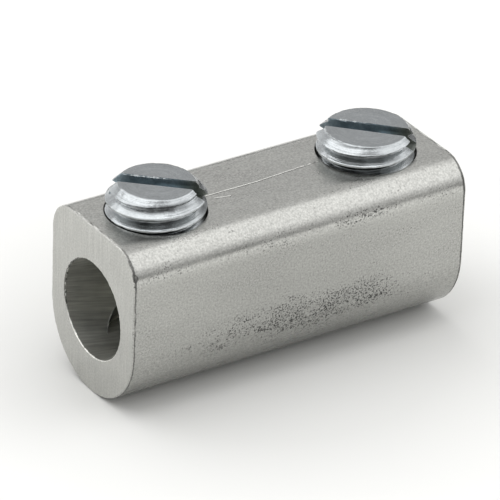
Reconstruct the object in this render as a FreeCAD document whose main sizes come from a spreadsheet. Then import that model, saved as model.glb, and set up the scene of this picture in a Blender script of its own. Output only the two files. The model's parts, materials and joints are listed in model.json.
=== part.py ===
import FreeCAD, Part
import math
import os

import Sketcher

# Two-screw mechanical cable splice, in millimetres.
# The origin is the centre of the left conductor bore's mouth. The body runs
# along +X to its right end, and the two clamping screws stand up along +Z.

# Driving sizes: name, value, what it is.
SIZES = [
    ("body_width", 11.7, "over the flat sides; the bottom is a full round of this width"),
    ("top_height", 7.1, "bore axis up to the flat top face"),
    ("side_reach", 1.25, "how far the flat sides go below the bore axis"),
    ("corner_radius", 2.5, "round of the two long top corners"),
    ("edge_break", 0.2, "round on the outer edge of each sawn end"),
    ("bore_diameter", 8.0, "conductor bore"),
    ("drill_point_angle", 118.0, "included angle of the bore's drill point"),
    ("centre_stop", 2.293, "solid metal left between the two drill points"),
    ("screw_diameter", 7.76, "over the thread crests"),
    ("screw_clearance", 0.07, "running fit of the screw in its hole, on the radius"),
    ("screw_setback", 5.5, "screw axis from its own end face"),
    ("bore_past_screw", 2.05, "how far a bore goes on past its screw hole"),
    ("tap_drill_step", 0.43, "tap drill's wall inside the screw's crests, on the radius"),
    ("tap_drill_floor", 3.65, "bore axis down to the floor of the tap drill's cut"),
    ("screw_length", 5.2, "set screw, end to end"),
    ("tip_chamfer", 0.78, "45 degree chamfer on the screw's tip"),
    ("left_top_chamfer", 0.96, "45 degree chamfer on the left screw's slotted end"),
    ("right_top_chamfer", 0.68, "45 degree chamfer on the right screw's slotted end"),
    ("slot_width", 1.3, "screwdriver slot"),
    ("slot_depth", 1.2, "screwdriver slot"),
    ("thread_pitch", 1.058, "24 threads to the inch, right handed"),
    ("thread_depth", 0.649, "thread, crest to root"),
    ("crest_flat", 0.132, "flat on the thread's crest"),
    ("root_flat", 0.177, "flat at the thread's root"),
    ("left_crest_drop", 0.938, "first crest below the left screw's top, at the slot's end"),
    ("right_crest_drop", 0.075, "first crest below the right screw's top, at the slot's end"),
    ("left_stand", 2.44, "left screw stands this far above the top face"),
    ("right_stand", 2.0, "right screw stands this far above the top face"),
    ("left_slot_turn", -42.7, "left slot's angle from the body's long axis"),
    ("right_slot_turn", -45.7, "right slot's angle from the body's long axis"),
]

# Sizes that follow from those. A bore runs past its screw hole and ends in a
# drill point, and the body is two such bores with the stop between them.
HOLE_RADIUS = "(Sizes.screw_diameter / 2 + Sizes.screw_clearance)"
TAP_DRILL_RADIUS = "(Sizes.screw_diameter / 2 - Sizes.tap_drill_step)"
BORE_DEPTH = "(Sizes.screw_setback + %s + Sizes.bore_past_screw)" % HOLE_RADIUS
POINT_LENGTH = "(Sizes.bore_diameter / 2 / tan(Sizes.drill_point_angle * 1 deg / 2))"
BODY_LENGTH = "(2 * (%s + %s) + Sizes.centre_stop)" % (BORE_DEPTH, POINT_LENGTH)

# The thread's groove runs on this many turns past each end of the screw. The
# odd half turn puts it midway between the crests.
GROOVE_RUN_OUT = 1.5

# A face lies in an end plane if it is within this distance of it, and a cut
# has to take at least this much away, in cubic millimetres.
PLANE_TOLERANCE = 1e-6
LEAST_CUT = 1e-3

# How a sketch numbers a line's or arc's points, its two axes and its origin.
START, END, CENTRE = range(1, 4)
HORIZONTAL_AXIS, VERTICAL_AXIS = range(-1, -3, -1)
ORIGIN = (HORIZONTAL_AXIS, START)


def make_sheet(doc):
    """The spreadsheet that holds the driving sizes."""
    sheet = doc.addObject("Spreadsheet::Sheet", "Sizes")
    for row, (name, value, note) in enumerate(SIZES, start=1):
        sheet.set("A%d" % row, name)
        sheet.set("B%d" % row, str(value))
        sheet.set("C%d" % row, note)
        sheet.setAlias("B%d" % row, name)
    doc.recompute()


def value_of(item, expression):
    return float(item.evalExpression(expression))


def make_body(doc, label):
    body = doc.addObject("PartDesign::Body", label)
    body.Label = label
    return body


def origin_feature(body, role):
    """One of the body's own origin planes or axes."""
    for feature in body.Origin.OriginFeatures:
        if feature.Role == role:
            return feature
    raise ValueError("no origin feature %s" % role)


def make_sketch(body, name, role):
    sketch = body.newObject("Sketcher::SketchObject", name)
    sketch.AttachmentSupport = [(origin_feature(body, role), "")]
    sketch.MapMode = "FlatFace"
    return sketch


def bind(sketch, kind, places, name, expression):
    """Add a named dimension to the sketch that follows the sheet."""
    value = value_of(sketch, expression)
    index = sketch.addConstraint(Sketcher.Constraint(kind, *places, value))
    sketch.renameConstraint(index, name)
    sketch.setExpression("Constraints.%s" % name, expression)


def join(sketch, kind, *places):
    sketch.addConstraint(Sketcher.Constraint(kind, *places))


def draw_line(sketch, start, end):
    segment = Part.LineSegment(FreeCAD.Vector(*start), FreeCAD.Vector(*end))
    return sketch.addGeometry(segment)


def flat_circle(centre, radius):
    return Part.Circle(FreeCAD.Vector(*centre), FreeCAD.Vector(0, 0, 1), radius)


def draw_arc(sketch, centre, radius, first, last):
    """An arc between two angles in degrees, counter-clockwise."""
    circle = flat_circle(centre, radius)
    return sketch.addGeometry(Part.ArcOfCircle(circle, math.radians(first), math.radians(last)))


def draw_polygon(sketch, points):
    """Closed chain of lines through the points, joined at its corners."""
    lines = [draw_line(sketch, start, end) for start, end in zip(points, points[1:] + points[:1])]
    for line, following in zip(lines, lines[1:] + lines[:1]):
        join(sketch, "Coincident", line, END, following, START)
    return lines


def draw_section(sketch):
    """The extruded section: flat top, round top corners, full round bottom."""
    half = value_of(sketch, "Sizes.body_width / 2")
    top = value_of(sketch, "Sizes.top_height")
    radius = value_of(sketch, "Sizes.corner_radius")
    low = value_of(sketch, "-Sizes.side_reach")
    inner = half - radius
    shoulder = top - radius
    top_line = draw_line(sketch, (-inner, top), (inner, top))
    right_corner = draw_arc(sketch, (inner, shoulder), radius, 0, 90)
    right_side = draw_line(sketch, (half, shoulder), (half, low))
    bottom = draw_arc(sketch, (0, low), half, 180, 360)
    left_side = draw_line(sketch, (-half, low), (-half, shoulder))
    left_corner = draw_arc(sketch, (-inner, shoulder), radius, 90, 180)
    join(sketch, "Tangent", top_line, END, right_corner, END)
    join(sketch, "Tangent", right_side, START, right_corner, START)
    join(sketch, "Tangent", right_side, END, bottom, END)
    join(sketch, "Tangent", left_side, START, bottom, START)
    join(sketch, "Tangent", left_side, END, left_corner, END)
    join(sketch, "Tangent", top_line, START, left_corner, START)
    join(sketch, "Horizontal", top_line)
    join(sketch, "Vertical", right_side)
    join(sketch, "Vertical", left_side)
    join(sketch, "Equal", right_corner, left_corner)
    join(sketch, "PointOnObject", bottom, CENTRE, VERTICAL_AXIS)
    bind(sketch, "Radius", [right_corner], "corner", "Sizes.corner_radius")
    bind(sketch, "Radius", [bottom], "half_width", "Sizes.body_width / 2")
    bind(sketch, "DistanceY", [*ORIGIN, top_line, START], "top", "Sizes.top_height")
    bind(sketch, "DistanceY", [bottom, CENTRE, *ORIGIN], "reach", "Sizes.side_reach")


def draw_bore(sketch):
    """Half section of a drilled conductor bore, turned about the X axis."""
    radius = value_of(sketch, "Sizes.bore_diameter / 2")
    depth = value_of(sketch, BORE_DEPTH)
    point = depth + value_of(sketch, POINT_LENGTH)
    axis, cone, wall, mouth = draw_polygon(
        sketch, [(0, 0), (point, 0), (depth, radius), (0, radius)])
    join(sketch, "Coincident", axis, START, *ORIGIN)
    join(sketch, "Horizontal", axis)
    join(sketch, "Horizontal", wall)
    join(sketch, "Vertical", mouth)
    bind(sketch, "DistanceX", [wall, END, wall, START], "depth", BORE_DEPTH)
    bind(sketch, "DistanceY", [mouth, END, mouth, START], "radius", "Sizes.bore_diameter / 2")
    bind(sketch, "DistanceX", [cone, END, cone, START], "point", POINT_LENGTH)


def draw_hole(sketch, radius):
    """Circle on the left screw's axis, its radius given as an expression."""
    setback = value_of(sketch, "Sizes.screw_setback")
    circle = sketch.addGeometry(flat_circle((setback, 0), value_of(sketch, radius)))
    join(sketch, "PointOnObject", circle, CENTRE, HORIZONTAL_AXIS)
    bind(sketch, "DistanceX", [*ORIGIN, circle, CENTRE], "setback", "Sizes.screw_setback")
    bind(sketch, "Radius", [circle], "radius", radius)


def outer_edges(shape, position):
    """Names of the edges round the outside of the end face at this X."""
    names = []
    for face in shape.Faces:
        lowest, highest = face.BoundBox.XMin, face.BoundBox.XMax
        if max(abs(lowest - position), abs(highest - position)) > PLANE_TOLERANCE:
            continue
        for edge in face.OuterWire.Edges:
            names += ["Edge%d" % index for index, candidate in enumerate(shape.Edges, start=1)
                      if candidate.isSame(edge)]
    return names


def make_splice_body(doc):
    """Length of extruded bar, drilled from both ends and from the top."""
    body = make_body(doc, "splice_body")

    section = make_sketch(body, "ExtrudedSection", "YZ_Plane")
    draw_section(section)
    bar = body.newObject("PartDesign::Pad", "Bar")
    bar.Profile = section
    bar.setExpression("Length", BODY_LENGTH)

    bore_profile = make_sketch(body, "BoreProfile", "XZ_Plane")
    draw_bore(bore_profile)
    bore = body.newObject("PartDesign::Groove", "ConductorBore")
    bore.Profile = bore_profile
    bore.ReferenceAxis = (origin_feature(body, "X_Axis"), [""])
    bore.Angle = 360.0

    # The screw hole opens the top wall, from the bore's axis up.
    hole_circle = make_sketch(body, "ScrewHoleCircle", "XY_Plane")
    draw_hole(hole_circle, HOLE_RADIUS)
    hole = body.newObject("PartDesign::Pocket", "ScrewHole")
    hole.Profile = hole_circle
    hole.Type = "ThroughAll"
    hole.Reversed = True

    # Its tap drill has gone on down and left a flat floor near the bore's bottom.
    drill_circle = make_sketch(body, "TapDrillCircle", "XY_Plane")
    draw_hole(drill_circle, TAP_DRILL_RADIUS)
    drill = body.newObject("PartDesign::Pocket", "TapDrilling")
    drill.Profile = drill_circle
    drill.setExpression("Length", "Sizes.tap_drill_floor")

    middle = body.newObject("PartDesign::Plane", "MiddlePlane")
    middle.AttachmentSupport = [(origin_feature(body, "YZ_Plane"), "")]
    middle.MapMode = "FlatFace"
    middle.setExpression("AttachmentOffset.Base.z", "%s / 2" % BODY_LENGTH)

    other_end = body.newObject("PartDesign::Mirrored", "OtherEnd")
    other_end.Originals = [bore, hole, drill]
    other_end.MirrorPlane = (middle, [""])
    body.Tip = other_end
    doc.recompute()

    length = value_of(body, BODY_LENGTH)
    edges = outer_edges(other_end.Shape, 0.0) + outer_edges(other_end.Shape, length)
    broken_ends = body.newObject("PartDesign::Fillet", "BrokenEnds")
    broken_ends.Base = (other_end, edges)
    broken_ends.setExpression("Radius", "Sizes.edge_break")
    body.Tip = broken_ends
    doc.recompute()
    return body


def draw_blank(sketch, top_chamfer):
    """Half section of the screw, tip on the origin, turned about the Z axis."""
    radius = value_of(sketch, "Sizes.screw_diameter / 2")
    length = value_of(sketch, "Sizes.screw_length")
    tip = value_of(sketch, "Sizes.tip_chamfer")
    top = value_of(sketch, top_chamfer)
    corners = [(0, 0), (radius - tip, 0), (radius, tip),
               (radius, length - top), (radius - top, length), (0, length)]
    tip_face, tip_slope, side, top_slope, top_face, axis = draw_polygon(sketch, corners)
    join(sketch, "Coincident", tip_face, START, *ORIGIN)
    join(sketch, "Horizontal", tip_face)
    join(sketch, "Vertical", side)
    join(sketch, "Horizontal", top_face)
    join(sketch, "Vertical", axis)
    bind(sketch, "DistanceY", [*ORIGIN, axis, START], "length", "Sizes.screw_length")
    bind(sketch, "DistanceX", [*ORIGIN, side, START], "radius", "Sizes.screw_diameter / 2")
    bind(sketch, "DistanceX", [tip_slope, START, tip_slope, END], "tip_in", "Sizes.tip_chamfer")
    bind(sketch, "DistanceY", [tip_slope, START, tip_slope, END], "tip_up", "Sizes.tip_chamfer")
    bind(sketch, "DistanceX", [top_slope, END, top_slope, START], "top_in", top_chamfer)
    bind(sketch, "DistanceY", [top_slope, START, top_slope, END], "top_down", top_chamfer)


def draw_thread_groove(sketch, crest_drop):
    """Section of the thread's groove, low enough to start below the tip.

    The groove is drawn a little past the crests, as wide there as its own
    flanks make it, so that each crest keeps its flat.
    """
    root_radius = "Sizes.screw_diameter / 2 - Sizes.thread_depth"
    across = ("Sizes.thread_depth * (1 + Sizes.crest_flat / 2"
              " / (Sizes.thread_pitch - Sizes.crest_flat - Sizes.root_flat))")
    mouth = "Sizes.thread_pitch - Sizes.crest_flat / 2"
    level = ("(ceil(Sizes.screw_length / Sizes.thread_pitch) + %s) * Sizes.thread_pitch"
             " + %s - Sizes.screw_length" % (GROOVE_RUN_OUT, crest_drop))
    root_low = "%s + Sizes.root_flat / 2" % level
    mouth_low = "%s + (%s) / 2" % (level, mouth)

    inner = value_of(sketch, root_radius)
    outer = inner + value_of(sketch, across)
    middle = -value_of(sketch, level)
    root_half = value_of(sketch, "Sizes.root_flat / 2")
    mouth_half = value_of(sketch, mouth) / 2
    corners = [(inner, middle - root_half), (outer, middle - mouth_half),
               (outer, middle + mouth_half), (inner, middle + root_half)]
    low_flank, mouth_line, high_flank, root_line = draw_polygon(sketch, corners)
    join(sketch, "Vertical", mouth_line)
    join(sketch, "Vertical", root_line)
    bind(sketch, "DistanceX", [*ORIGIN, low_flank, START], "root_radius", root_radius)
    bind(sketch, "DistanceX", [low_flank, START, low_flank, END], "across", across)
    bind(sketch, "DistanceY", [root_line, END, root_line, START], "root", "Sizes.root_flat")
    bind(sketch, "DistanceY", [mouth_line, START, mouth_line, END], "mouth", mouth)
    bind(sketch, "DistanceY", [low_flank, START, *ORIGIN], "root_low", root_low)
    bind(sketch, "DistanceY", [low_flank, END, *ORIGIN], "mouth_low", mouth_low)


def draw_slot(sketch):
    """Rectangle over the screw's top that passes its sides by half the slot's width."""
    reach = "Sizes.screw_diameter + Sizes.slot_width"
    half_reach = value_of(sketch, reach) / 2
    half_width = value_of(sketch, "Sizes.slot_width / 2")
    corners = [(-half_reach, -half_width), (half_reach, -half_width),
               (half_reach, half_width), (-half_reach, half_width)]
    near, right, far, left = draw_polygon(sketch, corners)
    join(sketch, "Horizontal", near)
    join(sketch, "Horizontal", far)
    join(sketch, "Vertical", right)
    join(sketch, "Vertical", left)
    join(sketch, "Symmetric", near, START, far, START, *ORIGIN)
    bind(sketch, "DistanceX", [near, START, near, END], "reach", reach)
    bind(sketch, "DistanceY", [right, START, right, END], "width", "Sizes.slot_width")


def make_set_screw(doc, side, axis_place):
    """Slotted headless set screw with a chamfer at both ends."""
    body = make_body(doc, "%s_set_screw" % side)
    prefix = side.capitalize()

    profile = make_sketch(body, prefix + "BlankProfile", "XZ_Plane")
    draw_blank(profile, "Sizes.%s_top_chamfer" % side)
    blank = body.newObject("PartDesign::Revolution", prefix + "Blank")
    blank.Profile = profile
    blank.ReferenceAxis = (origin_feature(body, "Z_Axis"), [""])
    blank.Angle = 360.0

    slot_plan = make_sketch(body, prefix + "SlotPlan", "XY_Plane")
    slot_plan.setExpression("AttachmentOffset.Base.z", "Sizes.screw_length")
    draw_slot(slot_plan)
    slot = body.newObject("PartDesign::Pocket", prefix + "Slot")
    slot.Profile = slot_plan
    slot.setExpression("Length", "Sizes.slot_depth")

    groove = make_sketch(body, prefix + "ThreadGroove", "XZ_Plane")
    draw_thread_groove(groove, "Sizes.%s_crest_drop" % side)
    thread = body.newObject("PartDesign::SubtractiveHelix", prefix + "Thread")
    thread.Profile = groove
    thread.ReferenceAxis = (origin_feature(body, "Z_Axis"), [""])
    thread.Mode = "pitch-height-angle"
    thread.setExpression("Pitch", "Sizes.thread_pitch")
    thread.setExpression(
        "Height", "(ceil(Sizes.screw_length / Sizes.thread_pitch) + 2 * %s)"
        " * Sizes.thread_pitch" % GROOVE_RUN_OUT)
    body.Tip = thread

    body.setExpression("Placement.Base.x", axis_place)
    body.setExpression("Placement.Base.z",
                       "Sizes.top_height + Sizes.%s_stand - Sizes.screw_length" % side)
    body.setExpression("Placement.Rotation.Angle", "Sizes.%s_slot_turn" % side)
    doc.recompute()
    return body


def check_document(doc, bodies):
    """Stop before anything is written if a feature failed or cut nothing."""
    for item in doc.Objects:
        if "Invalid" in item.State or "Error" in item.State:
            raise RuntimeError("%s failed: %s" % (item.Name, item.State))
    for body in bodies:
        if body.Shape.isNull() or not body.Shape.isValid():
            raise RuntimeError("%s has no sound shape" % body.Label)
        if len(body.Shape.Solids) != 1:
            raise RuntimeError("%s is not one solid" % body.Label)
        solid_features = [item for item in body.Group if item.isDerivedFrom("PartDesign::Feature")]
        for before, after in zip(solid_features, solid_features[1:]):
            if after.Shape.Volume > before.Shape.Volume - LEAST_CUT:
                raise RuntimeError("%s removed nothing" % after.Name)


def main():
    doc = FreeCAD.newDocument("CableSplice")
    make_sheet(doc)
    bodies = [
        make_splice_body(doc),
        make_set_screw(doc, "left", "Sizes.screw_setback"),
        make_set_screw(doc, "right", "%s - Sizes.screw_setback" % BODY_LENGTH),
    ]
    doc.recompute()
    check_document(doc, bodies)
    os.makedirs("parts", exist_ok=True)
    for body in bodies:
        body.Shape.exportStep("parts/%s.step" % body.Label)
        print("%s: %.2f cubic millimetres" % (body.Label, body.Shape.Volume))


main()
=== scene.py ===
import json
import math
from functools import partial

import bmesh
import bpy
from bpy.props import FloatProperty, FloatVectorProperty, IntProperty, PointerProperty
from mathutils import Matrix, Quaternion, Vector, noise


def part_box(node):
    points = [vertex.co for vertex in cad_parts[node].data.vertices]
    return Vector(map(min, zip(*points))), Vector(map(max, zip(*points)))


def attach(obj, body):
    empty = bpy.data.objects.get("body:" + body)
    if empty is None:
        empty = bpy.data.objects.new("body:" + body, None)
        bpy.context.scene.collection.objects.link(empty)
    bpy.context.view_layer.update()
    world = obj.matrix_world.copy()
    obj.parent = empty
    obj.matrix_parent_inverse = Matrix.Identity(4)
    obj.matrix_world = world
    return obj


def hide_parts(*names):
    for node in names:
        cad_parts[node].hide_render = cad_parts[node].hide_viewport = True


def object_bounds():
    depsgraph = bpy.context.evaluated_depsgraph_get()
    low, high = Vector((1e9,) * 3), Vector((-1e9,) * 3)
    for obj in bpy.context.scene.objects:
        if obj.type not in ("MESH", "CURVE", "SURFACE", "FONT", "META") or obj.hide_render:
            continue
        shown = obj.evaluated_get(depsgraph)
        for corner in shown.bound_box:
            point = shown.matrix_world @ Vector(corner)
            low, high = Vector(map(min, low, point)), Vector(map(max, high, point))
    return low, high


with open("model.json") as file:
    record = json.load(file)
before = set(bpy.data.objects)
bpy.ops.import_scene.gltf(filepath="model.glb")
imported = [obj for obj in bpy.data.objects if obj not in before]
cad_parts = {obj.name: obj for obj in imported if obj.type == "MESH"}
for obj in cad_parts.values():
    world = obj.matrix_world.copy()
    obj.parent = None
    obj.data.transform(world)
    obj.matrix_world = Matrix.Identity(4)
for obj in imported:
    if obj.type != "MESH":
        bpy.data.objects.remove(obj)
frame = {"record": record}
CAD_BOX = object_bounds()

bl_info = {
    "name": "Mechanical Cable Splice",
    "version": (1, 0, 0),
    "blender": (4, 5, 0),
    "location": "View3D > Sidebar > Cable Splice",
    "description": "Two-screw cable splice: extruded barrel and slotted set screws",
    "category": "Object",
}

MM = 0.001

# Blender's names for the nodes that the trees use most.
RANGE = "ShaderNodeMapRange"
NOISE = "ShaderNodeTexNoise"
VECTOR = "ShaderNodeVectorMath"
SPLIT = "ShaderNodeSeparateXYZ"
COMBINE = "ShaderNodeCombineXYZ"
STRETCH = "ShaderNodeMapping"

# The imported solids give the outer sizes, and the record gives the bores.
BODY_LOW, BODY_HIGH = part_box("splice_body")
LEFT_LOW, LEFT_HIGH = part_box("left_set_screw")
RIGHT_LOW, RIGHT_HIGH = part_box("right_set_screw")
LEFT_BORE, RIGHT_BORE = frame["record"]["mounts"]
SCREW_RADIUS = (LEFT_HIGH.x - LEFT_LOW.x) / 2
SCREW_LENGTH = LEFT_HIGH.z - LEFT_LOW.z
# Where each screw's axis stands along the body.
LEFT_X = (LEFT_LOW.x + LEFT_HIGH.x) / 2
RIGHT_X = (RIGHT_LOW.x + RIGHT_HIGH.x) / 2

# An edge that turns by more than this is shaded sharp.
SHARP_ANGLE = math.radians(28)

# Scales a place along the body up, so that the two ends get different unevenness.
PLACE_TO_NOISE = 900


def linear(hex_colour):
    """An sRGB hex colour as the linear numbers that Blender's sockets hold."""
    parts = [int(hex_colour[i:i + 2], 16) / 255 for i in (1, 3, 5)]
    return (*[p / 12.92 if p <= 0.04045 else ((p + 0.055) / 1.055) ** 2.4 for p in parts], 1.0)


WHITE = linear("#FFFFFF")


def length(name, description, default):
    """A property that holds a length, given in metres."""
    return FloatProperty(name=name, description=description, default=default,
                         unit="LENGTH", precision=6)


def angle_of(name, description, degrees):
    """A property that holds an angle, given in degrees."""
    return FloatProperty(name=name, description=description, subtype="ANGLE",
                         default=math.radians(degrees))


def brightness(name, description, default):
    """A property that holds a brightness, 1 being white."""
    return FloatProperty(name=name, description=description, default=default, min=0.0)


def colour(name, description, default):
    """A property that holds a surface colour, given as sRGB hex."""
    return FloatVectorProperty(name=name, description=description, subtype="COLOR",
                               size=4, min=0.0, max=1.0, default=linear(default))


class BarrelSettings(bpy.types.PropertyGroup):
    """Sizes and colours of the extruded body."""

    corner_radius: length("Corner Radius", "Round of the two long top corners", 2.5 * MM)
    edge_break: length("Edge Break", "Largest round on the edge of a sawn end", 0.14 * MM)
    crease_width: length("Crease Width", "Crease inside a sawn end's edge", 0.10 * MM)
    crease_depth: length("Crease Depth", "Crease inside a sawn end's edge", 0.04 * MM)
    nick_height: length("Nick Height", "Saw's nick at the front corner", 5.45 * MM)
    hole_radius: length("Screw Hole Radius", "Tapped hole, as a plain wall", 3.95 * MM)
    drill_radius: length("Tap Drill Radius", "Tap drill's cut below the bore", 3.45 * MM)
    drill_floor: length("Tap Drill Floor", "Depth of that cut below the bore axis", 3.65 * MM)
    point_length: length("Drill Point Length", "Height of the bore's drill point", 2.4034 * MM)
    mouth_chamfer: length("Mouth Chamfer", "Deburred edge at a bore's mouth", 0.07 * MM)
    drill_burr: length("Drill Burr", "Burr where the tap drill broke out", 0.06 * MM)
    rim_chamfer: length("Rim Chamfer", "Broken edge at a screw hole's rim", 0.012 * MM)
    skin_colour: colour("Extruded Skin", "Dull tin plate over the extruded skin", "#B9B9B5")
    sawn_colour: colour("Sawn End", "Tin plate over the sawn ends", "#BABAB6")
    bore_colour: colour("Drilled Bore", "Thin plate inside the bores", "#DEDED8")
    tapped_colour: colour("Tapped Wall", "Bare, oily metal of the screw holes", "#A0A098")


class ScrewSettings(bpy.types.PropertyGroup):
    """Sizes and colours of the two slotted set screws."""

    pitch: length("Thread Pitch", "24 threads to the inch", 1.058 * MM)
    thread_depth: length("Thread Depth", "From crest to root", 0.649 * MM)
    crest_flat: length("Crest Flat", "Flat on the thread's crest", 0.132 * MM)
    root_flat: length("Root Flat", "Flat at the thread's root", 0.177 * MM)
    tip_chamfer: length("Tip Chamfer", "45 degree chamfer on the tip", 0.78 * MM)
    slot_width: length("Slot Width", "Screwdriver slot", 1.3 * MM)
    slot_depth: length("Slot Depth", "Screwdriver slot", 1.2 * MM)
    left_top_chamfer: length("Left Chamfer", "Left screw's slotted end", 0.96 * MM)
    right_top_chamfer: length("Right Chamfer", "Right screw's slotted end", 0.68 * MM)
    left_crest_drop: length("Left Crest Drop", "First crest below the top", 0.938 * MM)
    right_crest_drop: length("Right Crest Drop", "First crest below the top", 0.185 * MM)
    left_slot_turn: angle_of("Left Slot Turn", "Slot from the long axis", -42.7)
    right_slot_turn: angle_of("Right Slot Turn", "Slot from the long axis", -45.7)
    left_burr: length("Left Burr", "Thickness of the burr on the slot's edge", 0.08 * MM)
    right_burr: length("Right Burr", "Thickness of the burr on the slot's edge", 0.10 * MM)
    # Painted shade darkens the thread's grooves below these depths.
    left_dull_from: length("Left Dull From", "Dull grooves below this depth", 1.75 * MM)
    right_dull_from: length("Right Dull From", "Dull grooves below this depth", 0.55 * MM)
    segments: IntProperty(name="Segments", description="Steps round the thread",
                          default=160, min=32, max=256)
    zinc_colour: colour("Zinc Plate", "Bright blue-white zinc over steel", "#B4B8BA")
    slot_colour: colour("Slot", "Thin, dull plate inside the slot", "#D0E0E8")
    oil_colour: colour("Oily Grime", "Tint of the grime at the slot's end", "#A09E88")


class StageSettings(bpy.types.PropertyGroup):
    """Camera, floor and light."""

    azimuth: angle_of("Azimuth", "Camera, round from the front side", -34.058)
    elevation: angle_of("Elevation", "Camera, above the horizon", 29.461)
    roll: angle_of("Roll", "Camera, about its own axis", 2.0505)
    distance: length("Distance", "Camera to the point that it looks at", 382.141 * MM)
    aim: FloatVectorProperty(name="Aim", description="Point that the camera looks at",
                             subtype="TRANSLATION", unit="LENGTH", precision=6,
                             default=(14.665 * MM, 0.725 * MM, 0.675 * MM))
    lens: FloatProperty(name="Lens", description="Focal length in millimetres", default=357.9)
    floor_colour: colour("Floor", "Plain pale floor", "#E0E0DE")
    card_colour: colour("Dark Card", "Low cards, out of view", "#5C5C5C")
    floor_glow: brightness("Floor Glow", "Added to the floor, away from the object", 0.38)
    sky_level: brightness("Sky Level", "Grey sky, as a light", 0.7)
    ceiling_level: brightness("Ceiling Level", "Grey ceiling, out of view", 0.69)
    ceiling_height: length("Ceiling Height", "Ceiling above the bores' axis", 0.8)
    front_level: brightness("Front Softbox", "In front, at the right", 0.76)
    back_level: brightness("Back Softbox", "Overhead, at the left", 1.34)
    side_level: brightness("Side Softbox", "Low, at the right end", 0.8)
    softbox_distance: length("Softbox Distance", "Softboxes to the object", 0.6)


def add_node(tree, kind, *inputs, **settings):
    """Adds a node, sets its settings and fills its sockets.

    A kind in capitals is the operation of a math node. Inputs fill the sockets in
    order, or by name where one is a dictionary; None leaves a socket alone. A
    socket or node is linked, anything else is set.
    """
    if kind.isupper():
        settings["operation"] = kind
        kind = "ShaderNodeMath"
    made = tree.nodes.new(kind)
    for name, value in settings.items():
        setattr(made, name, value)
    pairs = [(i, value) for i, value in enumerate(inputs) if not isinstance(value, dict)]
    pairs += [pair for group in inputs if isinstance(group, dict) for pair in group.items()]
    for place, value in pairs:
        if isinstance(value, bpy.types.Node):
            value = next(s for s in value.outputs if s.enabled)
        if isinstance(value, bpy.types.NodeSocket):
            tree.links.new(value, made.inputs[place])
        elif value is not None:
            made.inputs[place].default_value = value
    return made


def grains(size, detail, roughness):
    """The inputs of a noise whose grains are this many millimetres across."""
    return {"Scale": 1 / (size * MM), "Detail": detail, "Roughness": roughness}


def product(add, *factors):
    """Several values multiplied; a tuple is a value and the range it is spread over."""
    total = None
    for factor in factors:
        if isinstance(factor, tuple):
            factor = add(RANGE, *factor)
        total = factor if total is None else add("MULTIPLY", total, factor)
    return total


def apart(add, one, other):
    """How far apart two values are."""
    gap = add("SUBTRACT", one, other)
    return add("ABSOLUTE", gap)


def evaluated_mesh(scene_object, name):
    """The mesh that an object's modifiers give, as a plain mesh."""
    graph = bpy.context.evaluated_depsgraph_get()
    mesh = bpy.data.meshes.new_from_object(scene_object.evaluated_get(graph))
    mesh.name = name
    return mesh


def new_object(name, data):
    made = bpy.data.objects.new(name, data)
    bpy.context.scene.collection.objects.link(made)
    return made


def keep_piece(piece, node, body):
    """Puts a finished piece in the place of its CAD node."""
    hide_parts(node)
    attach(piece, body)


def finished_mesh(build, name, *materials):
    """The mesh that was being built, with its faces turned outwards."""
    bmesh.ops.recalc_face_normals(build, faces=build.faces)
    mesh = bpy.data.meshes.new(name)
    build.to_mesh(mesh)
    build.free()
    for material in materials:
        mesh.materials.append(material)
    return mesh


def close_tube(build, rings):
    """Faces between each ring of points and the next, and one across each end."""
    count = len(rings[0])
    for a, b in zip(rings, rings[1:]):
        for i in range(count):
            j = (i + 1) % count
            build.faces.new((a[i], a[j], b[j], b[i]))
    return [build.faces.new(ring) for ring in (rings[0], rings[-1])]


def uneven(angle, place, seed, lumps):
    """A number from -1 to 1 that wanders as an edge does on its way round."""
    at = Vector((lumps * math.cos(angle), lumps * math.sin(angle), seed + place))
    return noise.noise(at)


def new_material(name):
    material = bpy.data.materials.new(name)
    material.use_nodes = True
    material.node_tree.nodes.clear()
    return material, partial(add_node, material.node_tree)


def finish_metal(add, base, shade, roughness, height, depth, strength=0.8):
    """Ends a metal's tree: its colour, how light or dark it is, and its bumps."""
    tint = add(VECTOR, base, {"Scale": shade}, operation="SCALE")
    bump = add("ShaderNodeBump", {"Height": height, "Distance": depth, "Strength": strength})
    shader = add("ShaderNodeBsdfPrincipled",
                 {"Base Color": tint, "Metallic": 1.0, "Roughness": roughness, "Normal": bump})
    add("ShaderNodeOutputMaterial", shader)


def distance_from_end(add, x):
    """How far a point is from the nearer sawn end."""
    off_middle = apart(add, x, BODY_HIGH.x / 2)
    return add("SUBTRACT", BODY_HIGH.x / 2, off_middle)


def skin_pits(add, where, x, y, z):
    """Dark pits, crowded low on the flat sides and thinner along the upper edge.

    They are the dark ends of a fine noise, let through where a patchy mask is high.
    """
    specks = add(NOISE, where, grains(0.15, 2.0, 0.8))
    flecked = add(STRETCH, where, {"Scale": (0.45, 1.0, 1.0)})
    patches = add(NOISE, flecked, grains(1.7, 3.0, 0.7))
    outwards = add("ABSOLUTE", y)
    flat_side = add(RANGE, outwards, 4.0 * MM, 5.6 * MM)
    low = product(add, (z, 0.3 * MM, -1.0 * MM), flat_side, (z, -4.5 * MM, -2.6 * MM),
                  (x, 4.0 * MM, 9.0 * MM))
    edge = product(add, (z, 3.9 * MM, 4.9 * MM), (z, 6.2 * MM, 5.4 * MM), flat_side,
                   (x, 5.0 * MM, 20.0 * MM, 0.3, 0.9))
    right_end = product(add, (x, 17.0 * MM, 28.0 * MM, 0.0, 0.25), flat_side)
    crowd = add("MAXIMUM", add("MAXIMUM", low, edge), right_end)
    crowd = product(add, crowd, (x, 21.0 * MM, 27.0 * MM, 1.0, 0.3))
    chance = add("MULTIPLY_ADD", crowd, 0.33, patches)
    reach = add(RANGE, chance, 0.52, 0.84, 0.29, 0.50)
    pits = add("SUBTRACT", reach, specks)
    return add(RANGE, pits, 0.0, 0.11)


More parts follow.
